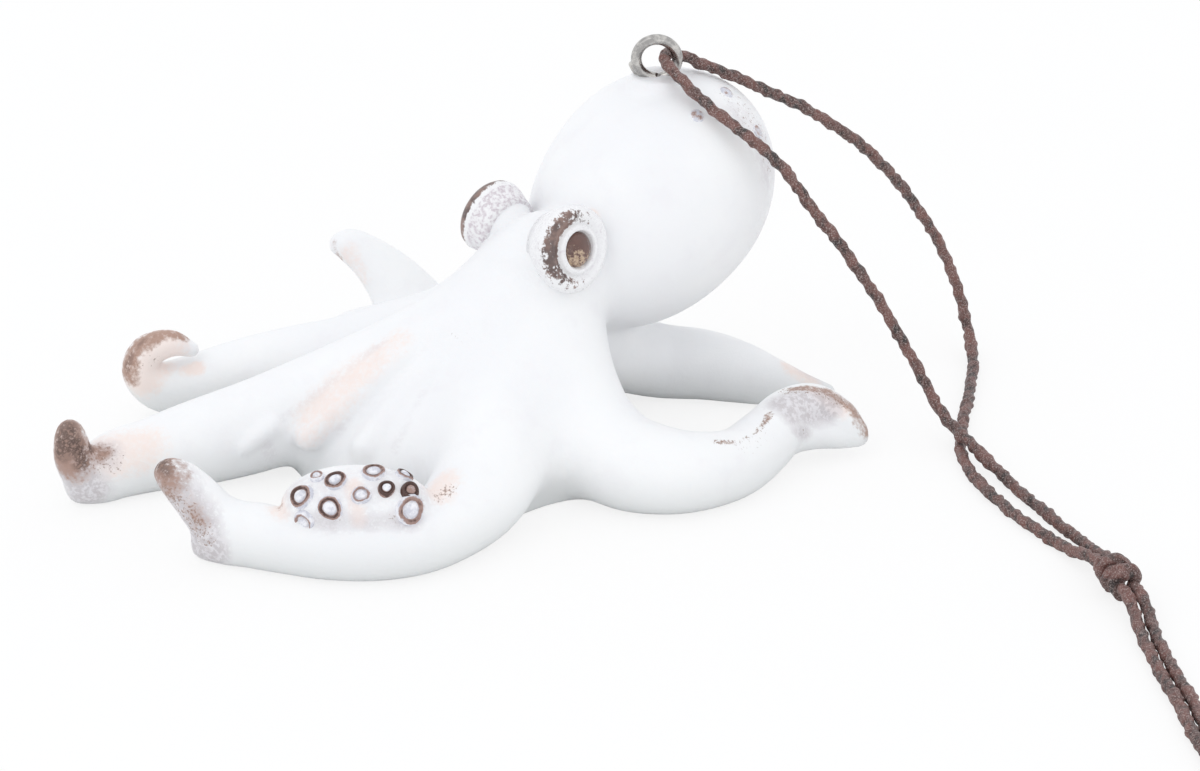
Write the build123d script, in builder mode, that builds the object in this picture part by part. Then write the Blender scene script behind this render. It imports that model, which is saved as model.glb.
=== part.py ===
from build123d import *
import os
from math import cos, pi, radians, sin, sqrt, tan

os.makedirs("parts", exist_ok=True)

# A resting octopus ornament: a cast body that stands on its eight arms, a wire eye in the top of its
# mantle and a thin cord doubled through that eye, knotted and laid beside it. +Z is up, +X runs
# towards the tips of the two right arms and the origin lies on the floor under the casting's middle.

# The figure as a whole
figure_length = 102.0
figure_depth = 73.0
crown_height = 33.0
floor_flat = 0.4

# The egg-shaped mantle behind the head
mantle_diameter = 29.4
mantle_back_length = 17.3
mantle_front_length = 20.4
mantle_back_end_radius = 13.6
mantle_front_end_radius = 11.6
mantle_middle_height = 29.3
mantle_tilt = 35.0

# The direction that the head faces, and its eyes
face_heading = 223.0
eye_spacing = 14.8
eye_height = 29.4
eye_tilt = 12.0
eye_base_diameter = 11.2
eye_face_diameter = 7.8
eye_projection = 1.6
eye_wall_height = 2.6
eye_root_depth = 3.4
iris_diameter = 5.8
iris_thickness = 1.0
iris_crown = 0.5
iris_recess = 1.2
iris_clearance = 0.05

# The arms
arm_thickness = 12.0

# The sucker pad on the front arm and its cups
pad_length = 18.8
pad_thickness = 9.8
pad_end_radius = 3.3
pad_middle_height = 7.9
pad_heading = 176.0
sucker_diameter = 3.4
sucker_height = 0.9
sucker_root = 0.5
sucker_wall = 0.7
sucker_dish = 0.5

# The small raised spots on the mantle
spot_diameter = 1.9
spot_height = 0.3
spot_root = 0.6

# The wire eye and the raised seat round its foot
wire_diameter = 1.4
ring_bore = 3.8
ring_middle_height = 47.7
shank_length = 8.0
shank_clearance = 0.05
seat_base_diameter = 7.8
seat_top_diameter = 6.6
seat_depth = 3.4
seat_shoulder = 1.5

# The cord and its knot
cord_diameter = 1.5
corner_share = 0.45
knot_length = 6.0
knot_girth = 4.7
knot_turns = 3
knot_turn_rise = 0.7

half_length = figure_length / 2
half_depth = figure_depth / 2
half_arm = arm_thickness / 2
mantle_radius = mantle_diameter / 2

# Where the middles of the mantle, the head and the sucker pad lie in plan, along the figure's half
# length and half depth
mantle_place_share = (0.476, 0.562)
head_place_share = (0.162, 0.164)
pad_place_share = (-0.243, -0.784)

# The head and the web below it, one level above another: height, then the middle along the length
# and the depth, then the half widths along them
body_level_shares = [
    (0.00, -0.05, -0.03, 0.38, 0.46),
    (0.16, -0.035, -0.03, 0.365, 0.44),
    (0.32, 0.02, -0.005, 0.33, 0.41),
    (0.485, 0.08, 0.055, 0.27, 0.33),
    (0.635, 0.125, 0.115, 0.215, 0.245),
    (0.77, 0.153, 0.153, 0.165, 0.20),
    (0.88, 0.165, 0.17, 0.137, 0.183),
    (0.955, 0.173, 0.18, 0.094, 0.13),
    (1.00, 0.177, 0.187, 0.03, 0.04),
]

# Each arm from its root in the head towards its tip, as shares: along the figure's half length, along
# its half depth, the lift of its underside off the floor in crown heights, and its thickness
arm_shares = {
    "arm_right_front": [
        (0.12, 0.02, 0.36, 0.95),
        (0.19, -0.06, 0.26, 1.04),
        (0.25, -0.15, 0.14, 1.10),
        (0.31, -0.24, 0.045, 1.10),
        (0.385, -0.32, 0.00, 1.03),
        (0.475, -0.37, 0.00, 0.94),
        (0.57, -0.35, 0.00, 0.84),
        (0.67, -0.25, 0.00, 0.74),
        (0.75, -0.10, 0.03, 0.68),
        (0.81, 0.03, 0.085, 0.63),
        (0.875, 0.10, 0.105, 0.55),
        (0.945, 0.10, 0.085, 0.42),
        (0.99, 0.065, 0.07, 0.20),
    ],
    "arm_right_back": [
        (0.18, 0.30, 0.27, 0.92),
        (0.29, 0.41, 0.15, 0.90),
        (0.39, 0.50, 0.065, 0.87),
        (0.49, 0.55, 0.01, 0.83),
        (0.60, 0.55, 0.00, 0.79),
        (0.69, 0.52, 0.00, 0.70),
        (0.78, 0.49, 0.00, 0.54),
        (0.86, 0.50, 0.00, 0.35),
        (0.93, 0.53, 0.00, 0.18),
    ],
    "arm_back_right": [
        (0.15, 0.20, 0.24, 0.80),
        (0.20, 0.45, 0.105, 0.87),
        (0.21, 0.66, 0.01, 0.83),
        (0.24, 0.82, 0.00, 0.73),
        (0.32, 0.895, 0.00, 0.63),
        (0.42, 0.895, 0.00, 0.53),
        (0.48, 0.86, 0.00, 0.43),
        (0.49, 0.78, 0.00, 0.32),
        (0.45, 0.73, 0.00, 0.18),
    ],
    "arm_back_left": [
        (0.06, 0.30, 0.28, 0.87),
        (0.00, 0.50, 0.12, 0.90),
        (-0.07, 0.68, 0.04, 0.86),
        (-0.14, 0.80, 0.09, 0.80),
        (-0.205, 0.87, 0.215, 0.67),
        (-0.265, 0.905, 0.33, 0.52),
        (-0.325, 0.925, 0.415, 0.40),
        (-0.355, 0.93, 0.445, 0.28),
    ],
    "arm_left_back": [
        (0.02, 0.26, 0.20, 0.80),
        (-0.12, 0.42, 0.12, 0.83),
        (-0.23, 0.56, 0.10, 0.80),
        (-0.30, 0.67, 0.06, 0.72),
        (-0.335, 0.78, 0.02, 0.60),
        (-0.345, 0.87, 0.00, 0.40),
        (-0.32, 0.94, 0.00, 0.29),
        (-0.275, 0.96, 0.00, 0.16),
    ],
    "arm_left_curled": [
        (0.08, 0.18, 0.36, 0.90),
        (-0.04, 0.22, 0.26, 1.02),
        (-0.18, 0.29, 0.165, 1.03),
        (-0.33, 0.37, 0.085, 0.95),
        (-0.47, 0.43, 0.04, 0.87),
        (-0.61, 0.44, 0.01, 0.78),
        (-0.73, 0.41, 0.00, 0.67),
        (-0.81, 0.375, 0.04, 0.54),
        (-0.85, 0.362, 0.13, 0.45),
        (-0.835, 0.362, 0.225, 0.38),
        (-0.775, 0.367, 0.275, 0.30),
        (-0.72, 0.373, 0.27, 0.16),
    ],
    "arm_left_front": [
        (0.06, 0.04, 0.42, 0.92),
        (-0.06, 0.01, 0.32, 1.03),
        (-0.20, -0.02, 0.21, 1.05),
        (-0.35, -0.04, 0.115, 1.03),
        (-0.51, -0.075, 0.03, 1.00),
        (-0.66, -0.14, 0.00, 0.92),
        (-0.78, -0.20, 0.00, 0.79),
        (-0.87, -0.26, 0.00, 0.72),
        (-0.93, -0.31, 0.00, 0.52),
        (-0.96, -0.34, 0.02, 0.20),
    ],
    "arm_front": [
        (0.09, -0.06, 0.25, 1.02),
        (0.09, -0.24, 0.15, 1.13),
        (0.075, -0.41, 0.06, 1.15),
        (0.04, -0.57, 0.01, 1.03),
        (-0.02, -0.71, 0.00, 0.86),
        (-0.10, -0.82, 0.00, 0.74),
        (-0.20, -0.868, 0.00, 0.68),
        (-0.31, -0.862, 0.00, 0.66),
        (-0.41, -0.82, 0.00, 0.66),
        (-0.51, -0.77, 0.00, 0.67),
        (-0.585, -0.745, 0.00, 0.50),
        (-0.625, -0.735, 0.01, 0.20),
    ],
}

# The finger that stands up at the end of an arm, from inside the arm to its tip, in the same shares
finger_shares = {
    "arm_left_front": [
        (-0.90, -0.30, 0.01, 0.47),
        (-0.94, -0.335, 0.06, 0.46),
        (-0.96, -0.35, 0.13, 0.42),
        (-0.966, -0.35, 0.21, 0.36),
        (-0.967, -0.35, 0.27, 0.27),
        (-0.967, -0.35, 0.305, 0.12),
    ],
    "arm_front": [
        (-0.54, -0.75, 0.01, 0.58),
        (-0.595, -0.735, 0.085, 0.54),
        (-0.635, -0.727, 0.17, 0.49),
        (-0.67, -0.725, 0.245, 0.42),
        (-0.695, -0.725, 0.295, 0.30),
        (-0.71, -0.725, 0.325, 0.13),
    ],
}

# The arms that each arm is trimmed to, where both grow out of the body
arm_neighbours = {
    "arm_right_front": [],
    "arm_right_back": ["arm_right_front"],
    "arm_back_right": ["arm_right_back"],
    "arm_back_left": ["arm_back_right", "arm_right_back"],
    "arm_left_back": ["arm_back_left"],
    "arm_left_curled": ["arm_back_left", "arm_left_back"],
    "arm_left_front": ["arm_left_curled"],
    "arm_front": ["arm_left_front", "arm_right_front"],
}

# The sections along an arm and along a finger
arm_sections = 20
finger_sections = 8

# Each cup on the pad: the share along the pad's half length towards its left end, the angle up round
# the pad from its near side, and the share of the full size
sucker_shares = [
    (0.69, 43, 0.90),
    (0.25, 67, 0.78),
    (0.29, 24, 0.90),
    (0.64, -14, 0.80),
    (-0.22, 94, 0.78),
    (-0.10, 45, 0.66),
    (-0.41, 62, 0.54),
    (-0.62, 112, 0.54),
    (-0.70, 77, 0.58),
    (-0.74, 19, 0.96),
    (0.50, 88, 0.48),
]

# Each spot on the mantle: the share along its back half, and the angle round it from its left side
spot_shares = [(0.40, 127), (0.775, 130), (0.69, 166)]

# The route of each stretch of cord, outwards from the ring and then from the knot
front_strand_points = [
    (25.3, 20.5, 47.7),
    (25.3, 19.0, 47.7),
    (26.5, 17.4, 46.8),
    (29.0, 15.4, 44.9),
    (33.4, 13.0, 41.6),
    (38.9, 12.6, 37.0),
    (44.2, 13.4, 29.6),
    (51.1, 12.0, 20.9),
    (57.0, 9.6, 11.8),
    (60.7, 7.4, 5.2),
    (62.8, 4.6, 2.6),
    (65.2, -0.6, 2.4),
    (68.4, -6.4, 0.8),
    (72.4, -16.0, 0.8),
    (76.0, -23.6, 0.8),
    (77.2, -28.0, 1.4),
    (78.39, -31.2, 2.4),
    (79.09, -33.5, 2.4),
]
back_strand_points = [
    (25.3, 20.5, 47.7),
    (25.3, 22.0, 47.7),
    (26.7, 23.6, 47.3),
    (30.2, 24.6, 45.9),
    (36.6, 26.2, 42.6),
    (44.6, 29.2, 36.7),
    (52.0, 32.8, 28.9),
    (58.8, 36.0, 19.8),
    (64.4, 37.6, 10.9),
    (67.6, 35.6, 3.4),
    (68.1, 29.0, 0.8),
    (66.4, 18.2, 0.8),
    (64.4, 7.6, 0.8),
    (63.5, -1.0, 0.8),
    (65.4, -9.2, 0.8),
    (69.4, -18.4, 0.8),
    (73.5, -25.1, 0.8),
    (75.4, -28.8, 1.4),
    (76.86, -31.66, 2.4),
    (77.56, -33.96, 2.4),
]
right_tail_points = [
    (80.85, -39.24, 2.4),
    (81.4, -41.06, 2.4),
    (82.0, -44.0, 1.4),
    (82.3, -50.0, 0.8),
    (83.4, -57.8, 0.8),
    (84.6, -65.6, 0.8),
    (85.4, -73.6, 0.8),
    (86.6, -81.0, 0.8),
]
left_tail_points = [
    (79.32, -39.71, 2.4),
    (79.87, -41.52, 2.4),
    (80.3, -44.4, 1.4),
    (80.7, -50.2, 0.8),
    (81.7, -58.0, 0.8),
    (82.9, -65.8, 0.8),
    (83.7, -73.6, 0.8),
    (84.8, -79.6, 0.8),
]
cord_stretches = {
    "cord_front_strand": front_strand_points,
    "cord_back_strand": back_strand_points,
    "cord_right_tail": right_tail_points,
    "cord_left_tail": left_tail_points,
}

pieces = {}


def lofted_limb(shares, sections):
    """A round limb along a smooth line through the table's middles, in evenly spaced sections."""
    radii = [thick_share * half_arm for _, _, _, thick_share in shares]
    places = [
        Vector(x_share * half_length, y_share * half_depth, lift_share * crown_height + radius - floor_flat)
        for (x_share, y_share, lift_share, _), radius in zip(shares, radii)
    ]
    with BuildLine() as spine:
        Spline(*places)
    line = spine.edges()[0]
    marks = [line.param_at_point(place) for place in places]
    with BuildPart() as limb:
        side = (line % 0).cross(Vector(0, 0, 1))
        for step in range(sections):
            share = step / (sections - 1)
            along = line % share
            side = (side - along * side.dot(along)).normalized()
            span = min(sum(mark <= share for mark in marks), len(marks) - 1)
            ease = (share - marks[span - 1]) / (marks[span] - marks[span - 1])
            radius = radii[span - 1] + ease * (radii[span] - radii[span - 1])
            with BuildSketch(Plane(line @ share, x_dir=side, z_dir=along)):
                Circle(radius)
        loft(ruled=True)
    return limb


def oval_quarter(long_way, half_thick, end_radius, side):
    """A quarter of an oval from its crown to its end on the axis: a wide arc and then a narrow one."""
    end_centre = Vector(side * (long_way - end_radius), 0)
    crown_radius = (end_centre.X**2 + half_thick**2 - end_radius**2) / (2 * (half_thick - end_radius))
    crown_centre = Vector(0, half_thick - crown_radius)
    meeting = crown_centre + (end_centre - crown_centre).normalized() * crown_radius
    crown_arc = TangentArc((0, half_thick), meeting, tangent=(side, 0))
    TangentArc(meeting, (side * long_way, 0), tangent=crown_arc % 1)


def surface_plane(frame, half_long, half_thick, long_share, angle):
    """The plane that touches an ellipsoid about frame's x axis at a share of its length and an angle."""
    across = sqrt(1 - long_share**2)
    spoke = frame.y_dir * cos(radians(angle)) + frame.z_dir * sin(radians(angle))
    place = frame.origin + frame.x_dir * long_share * half_long + spoke * across * half_thick
    outward = frame.x_dir * long_share / half_long + spoke * across / half_thick
    return Plane(place, x_dir=frame.x_dir.cross(outward), z_dir=outward)


def turning_plane(plane):
    """The plane through another's normal in which the outline of a round piece on it is drawn."""
    return Plane(plane.origin, x_dir=plane.x_dir, z_dir=-plane.y_dir)


def corner_radii(points):
    """The radius of each bend, from the shorter run beside it and the angle that it turns through."""
    radii = []
    for before, corner, after in zip(points, points[1:], points[2:]):
        arriving = Vector(corner) - Vector(before)
        leaving = Vector(after) - Vector(corner)
        half_turn = radians(arriving.get_angle(leaving)) / 2
        radii.append(corner_share * min(arriving.length, leaving.length) / tan(half_turn))
    return radii


# The mantle: an egg turned about an axis that rises away from the head
mantle_middle = Vector(
    mantle_place_share[0] * half_length,
    mantle_place_share[1] * half_depth,
    mantle_middle_height,
)
mantle_back = Vector(-cos(radians(face_heading)), -sin(radians(face_heading)), 0)
mantle_axis = mantle_back * cos(radians(mantle_tilt)) + Vector(0, 0, sin(radians(mantle_tilt)))
mantle_frame = Plane(mantle_middle, x_dir=mantle_axis, z_dir=mantle_axis.cross(Vector(0, 0, 1).cross(mantle_back)))

with BuildPart() as mantle_form:
    with BuildSketch(mantle_frame):
        with BuildLine():
            oval_quarter(mantle_back_length, mantle_radius, mantle_back_end_radius, 1)
            oval_quarter(mantle_front_length, mantle_radius, mantle_front_end_radius, -1)
            Line((-mantle_front_length, 0), (mantle_back_length, 0))
        make_face()
    revolve(axis=Axis(mantle_frame.origin, mantle_frame.x_dir))

# The wire eye: a closed loop on a straight shank, and the room that it takes in the casting
ring_middle = Vector(mantle_middle.X, mantle_middle.Y, ring_middle_height)
ring_radius = (ring_bore + wire_diameter) / 2

with BuildPart() as hanger_eye:
    with BuildSketch(Plane(ring_middle + Vector(ring_radius, 0, 0))):
        Circle(wire_diameter / 2)
    revolve(axis=Axis(ring_middle, (0, 1, 0)))
    with BuildSketch(Plane(ring_middle - Vector(0, 0, ring_radius + shank_length))):
        Circle(wire_diameter / 2)
    extrude(amount=shank_length)
pieces["hanger_eye"] = hanger_eye

with BuildPart() as hanger_room:
    with BuildSketch(Plane(ring_middle + Vector(ring_radius, 0, 0))):
        Circle(wire_diameter / 2 + shank_clearance)
    revolve(axis=Axis(ring_middle, (0, 1, 0)))
    with BuildSketch(Plane(ring_middle - Vector(0, 0, ring_radius + shank_length + shank_clearance))):
        Circle(wire_diameter / 2 + shank_clearance)
    extrude(amount=shank_length + shank_clearance)

# The raised seat round the foot of the loop, level with the lowest point of its bore
seat_top = ring_middle - Vector(0, 0, ring_bore / 2)
with BuildPart() as seat_form:
    with BuildSketch(Plane(seat_top, x_dir=(1, 0, 0), z_dir=(0, -1, 0))):
        with BuildLine():
            Polyline(
                (seat_top_diameter / 2, 0),
                (0, 0),
                (0, -seat_depth),
                (seat_base_diameter / 2, -seat_depth),
                (seat_base_diameter / 2, -seat_shoulder),
            )
            TangentArc(
                (seat_base_diameter / 2, -seat_shoulder),
                (seat_top_diameter / 2, 0),
                tangent=(0, 1),
            )
        make_face()
    revolve(axis=Axis(seat_top, (0, 0, 1)))

with BuildPart() as hanger_seat:
    add(seat_form.part)
    add(hanger_room.part, mode=Mode.SUBTRACT)
pieces["hanger_seat"] = hanger_seat

# The spots stand a little proud of the mantle
with BuildPart() as mantle_spots:
    for long_share, angle in spot_shares:
        spot_plane = surface_plane(mantle_frame, mantle_back_length, mantle_radius, long_share, angle)
        with BuildSketch(spot_plane.offset(-spot_root)):
            Circle(spot_diameter / 2)
        extrude(amount=spot_root + spot_height)
pieces["mantle_spots"] = mantle_spots

with BuildPart() as mantle:
    add(mantle_form.part)
    add(seat_form.part, mode=Mode.SUBTRACT)
    add(hanger_room.part, mode=Mode.SUBTRACT)
    add(mantle_spots.part, mode=Mode.SUBTRACT)
pieces["mantle"] = mantle

# The eyes: a domed lid with a recess, and the iris that lies in it
head_middle = Vector(head_place_share[0] * half_length, head_place_share[1] * half_depth, eye_height)
recess_floor = eye_projection - iris_recess
for name, sideways in (("near", 90), ("far", -90)):
    heading = radians(face_heading + sideways)
    level = Vector(cos(heading), sin(heading), 0)
    outward = level * cos(radians(eye_tilt)) + Vector(0, 0, sin(radians(eye_tilt)))
    eye_plane = Plane(head_middle + level * eye_spacing / 2, x_dir=level.cross(Vector(0, 0, 1)), z_dir=outward)
    with BuildPart() as lid:
        with BuildSketch(turning_plane(eye_plane)):
            with BuildLine():
                Polyline(
                    (eye_face_diameter / 2, eye_projection),
                    (iris_diameter / 2, eye_projection),
                    (iris_diameter / 2, recess_floor),
                    (0, recess_floor),
                    (0, -eye_root_depth),
                    (eye_base_diameter / 2, -eye_root_depth),
                    (eye_base_diameter / 2, eye_projection - eye_wall_height),
                )
                TangentArc(
                    (eye_base_diameter / 2, eye_projection - eye_wall_height),
                    (eye_face_diameter / 2, eye_projection),
                    tangent=(0, 1),
                )
            make_face()
        revolve(axis=Axis(eye_plane.origin, outward))
        add(mantle_form.part, mode=Mode.SUBTRACT)
    pieces["eye_lid_" + name] = lid
    iris_edge = iris_diameter / 2 - iris_clearance
    iris_top = recess_floor + iris_thickness
    with BuildPart() as iris:
        with BuildSketch(turning_plane(eye_plane)):
            with BuildLine():
                Polyline(
                    (0, iris_top),
                    (0, recess_floor),
                    (iris_edge, recess_floor),
                    (iris_edge, iris_top - iris_crown),
                )
                TangentArc((0, iris_top), (iris_edge, iris_top - iris_crown), tangent=(1, 0))
            make_face()
        revolve(axis=Axis(eye_plane.origin, outward))
    pieces["iris_" + name] = iris

# The head and web, level by level
with BuildPart() as body_form:
    for height_share, x_share, y_share, long_share, deep_share in body_level_shares:
        middle = (x_share * half_length, y_share * half_depth, height_share * crown_height)
        with BuildSketch(Plane(middle)):
            Ellipse(long_share * half_length, deep_share * half_depth)
    loft()

with BuildPart() as head_and_web:
    add(body_form.part)
    add(mantle_form.part, mode=Mode.SUBTRACT)
    add(pieces["eye_lid_near"].part, mode=Mode.SUBTRACT)
    add(pieces["eye_lid_far"].part, mode=Mode.SUBTRACT)
pieces["head_and_web"] = head_and_web

# The suckers and the pad that carries them
pad_middle = Vector(pad_place_share[0] * half_length, pad_place_share[1] * half_depth, pad_middle_height)
pad_frame = Plane(pad_middle).rotated((0, 0, pad_heading))
with BuildPart() as pad_form:
    with BuildSketch(pad_frame):
        with BuildLine():
            oval_quarter(pad_length / 2, pad_thickness / 2, pad_end_radius, 1)
            oval_quarter(pad_length / 2, pad_thickness / 2, pad_end_radius, -1)
            Line((-pad_length / 2, 0), (pad_length / 2, 0))
        make_face()
    revolve(axis=Axis(pad_middle, pad_frame.x_dir))

with BuildPart() as suckers:
    for long_share, angle, size_share in sucker_shares:
        cup_plane = surface_plane(pad_frame, pad_length / 2, pad_thickness / 2, long_share, angle)
        cup_radius = size_share * sucker_diameter / 2
        dish_radius = cup_radius - size_share * sucker_wall
        with BuildSketch(turning_plane(cup_plane)):
            with BuildLine():
                Polyline(
                    (dish_radius, sucker_height),
                    (cup_radius, sucker_height),
                    (cup_radius, -sucker_root),
                    (0, -sucker_root),
                    (0, sucker_height - sucker_dish),
                    (dish_radius / 2, sucker_height - sucker_dish),
                    close=True,
                )
            make_face()
        revolve(axis=Axis(cup_plane.origin, cup_plane.z_dir))
pieces["suckers"] = suckers

with BuildPart() as sucker_pad:
    add(pad_form.part)
    add(suckers.part, mode=Mode.SUBTRACT)
pieces["sucker_pad"] = sucker_pad

# The eight arms, each cut flat where it rests on the floor
for name, shares in arm_shares.items():
    with BuildPart() as arm:
        add(lofted_limb(shares, arm_sections).part)
        if name in finger_shares:
            add(lofted_limb(finger_shares[name], finger_sections).part)
        split(bisect_by=Plane.XY, keep=Keep.TOP)
        add(body_form.part, mode=Mode.SUBTRACT)
        add(mantle_form.part, mode=Mode.SUBTRACT)
        for neighbour in arm_neighbours[name]:
            add(pieces[neighbour].part, mode=Mode.SUBTRACT)
        if name == "arm_front":
            add(pad_form.part, mode=Mode.SUBTRACT)
            add(suckers.part, mode=Mode.SUBTRACT)
    pieces[name] = arm

# The cord: straight runs joined by round bends
for name, points in cord_stretches.items():
    radii = corner_radii(points)
    with BuildPart() as stretch:
        with BuildLine() as route:
            FilletPolyline(*points, radius=radii)
        with BuildSketch(Plane(points[0], z_dir=Vector(points[1]) - Vector(points[0]))):
            Circle(cord_diameter / 2)
        sweep()
    pieces[name] = stretch
    length = route.wires()[0].length
    tube_share = stretch.part.volume / (length * pi * (cord_diameter / 2) ** 2)
    print(name, "length", round(length, 1), "volume over section and length", round(tube_share, 4))
    print("  radii", [round(radius, 1) for radius in radii])

# The knot: tight round turns between flat ends, where the stretches of cord that it ties meet it
knot_start = (Vector(front_strand_points[-1]) + Vector(back_strand_points[-1])) / 2
knot_axis = (Vector(front_strand_points[-1]) - Vector(front_strand_points[-2])).normalized()
knot_frame = Plane(knot_start + knot_axis * knot_length / 2, x_dir=knot_axis, z_dir=(0, 0, 1))
end_radius = knot_girth / 2 - knot_turn_rise
with BuildPart() as cord_knot:
    with BuildSketch(knot_frame):
        with BuildLine():
            turn_length = knot_length / knot_turns
            corner = Vector(-knot_length / 2, end_radius)
            Polyline((knot_length / 2, end_radius), (knot_length / 2, 0), (-knot_length / 2, 0), corner)
            for turn in range(knot_turns):
                next_corner = corner + Vector(turn_length, 0)
                crest = (corner + next_corner) / 2 + Vector(0, knot_turn_rise)
                ThreePointArc(corner, crest, next_corner)
                corner = next_corner
        make_face()
    revolve(axis=Axis(knot_start, knot_axis))
pieces["cord_knot"] = cord_knot

for name, piece in pieces.items():
    piece.part.label = name
    export_step(piece.part, f"parts/{name}.step")
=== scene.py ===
from math import cos, pi, radians, sin, sqrt

import bpy
import numpy as np
import openvdb
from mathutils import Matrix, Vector


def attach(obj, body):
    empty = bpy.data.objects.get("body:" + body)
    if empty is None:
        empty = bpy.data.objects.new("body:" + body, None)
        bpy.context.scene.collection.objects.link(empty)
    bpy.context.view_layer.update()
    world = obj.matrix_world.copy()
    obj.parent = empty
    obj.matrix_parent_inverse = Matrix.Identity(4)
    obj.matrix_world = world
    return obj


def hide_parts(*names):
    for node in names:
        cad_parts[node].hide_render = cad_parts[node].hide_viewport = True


# A cast octopus ornament on a pale floor, with a wire eye and a doubled waxed cord. The casting is one
# surface, drawn from a field of distances in millimetres; everything in the scene is in metres.
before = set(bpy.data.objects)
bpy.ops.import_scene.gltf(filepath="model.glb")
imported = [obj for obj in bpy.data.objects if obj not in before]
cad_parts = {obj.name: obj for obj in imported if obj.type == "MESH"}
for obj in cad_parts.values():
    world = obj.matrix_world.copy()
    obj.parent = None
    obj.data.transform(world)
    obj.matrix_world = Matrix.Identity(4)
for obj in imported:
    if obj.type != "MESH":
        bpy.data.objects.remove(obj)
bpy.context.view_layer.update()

MM = 0.001
rng = np.random.default_rng(7)
up = Vector((0, 0, 1))

# The camera, where the photograph was taken from
picture_width_at_target = 0.156
camera_distance = 0.48
camera_elevation = 25
camera_target = Vector((0.017, 0.006, 0.0078))
sensor_width = 36.0

camera_data = bpy.data.cameras.new("camera")
camera_data.sensor_width = sensor_width
camera_data.lens = sensor_width * camera_distance / picture_width_at_target
camera = bpy.data.objects.new("camera", camera_data)
bpy.context.scene.collection.objects.link(camera)
camera_back = Vector((0, -cos(radians(camera_elevation)), sin(radians(camera_elevation))))
camera.location = camera_target + camera_back * camera_distance
camera.rotation_euler = (radians(90 - camera_elevation), 0, 0)
bpy.context.scene.camera = camera
bpy.context.scene.view_settings.view_transform = "Standard"

# The figure's sizes in millimetres, and its tables in shares of them
half_length = 51.0
half_depth = 36.5
crown_height = 33.0
half_arm = 6.0
floor_flat = 0.4
floor_round = 0.5

mantle_radius = 14.7
mantle_back_length = 17.3
mantle_front_length = 20.4
mantle_tilt = 35.0
mantle_middle = Vector((24.28, 20.51, 29.3))
mantle_fillet = 2.6

face_heading = 223.0
head_middle = Vector((8.26, 5.99, 29.4))
eye_spacing = 14.8
eye_tilt = 12.0
mound_sink = 1.0
mound_rise = 1.6
mound_depth = 4.5
mound_radii = {"near": 5.0, "far": 4.2}
mound_fillets = {"near": 1.6, "far": 0.6}

pad_middle = Vector((-12.39, -28.62, 7.7))
pad_heading = 176.0
pad_half_length = 9.4
pad_half_thickness = 5.1
pad_crease = 0.5
sucker_radius = 1.7

ring_middle = Vector((mantle_middle.x, mantle_middle.y, 47.7))
ring_radius = 2.6
wire_radius = 0.7
seat_radius = 3.4
seat_drop = 3.5
seat_half_thickness = 1.2
seat_fillet = 0.9

limb_fillets = {"right_front": 4.5, "front": 4.0, "left_front": 3.0, "left_curled": 3.0}
plain_limb_fillet = 3.5
finger_fillet = 1.2
leaf_fillet = 0.9
fold_fillet = 1.5

# The head and web, level by level: height, then the middle along the length and the depth, then the
# half widths along them
body_levels = [
    (0.00, -0.05, -0.03, 0.38, 0.46),
    (0.16, -0.035, -0.03, 0.365, 0.44),
    (0.32, 0.02, -0.005, 0.33, 0.41),
    (0.485, 0.08, 0.055, 0.27, 0.33),
    (0.635, 0.125, 0.115, 0.215, 0.245),
    (0.77, 0.158, 0.145, 0.157, 0.18),
    (0.86, 0.175, 0.15, 0.122, 0.15),
    (0.925, 0.19, 0.16, 0.082, 0.10),
    (0.965, 0.195, 0.165, 0.03, 0.04),
]

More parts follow.
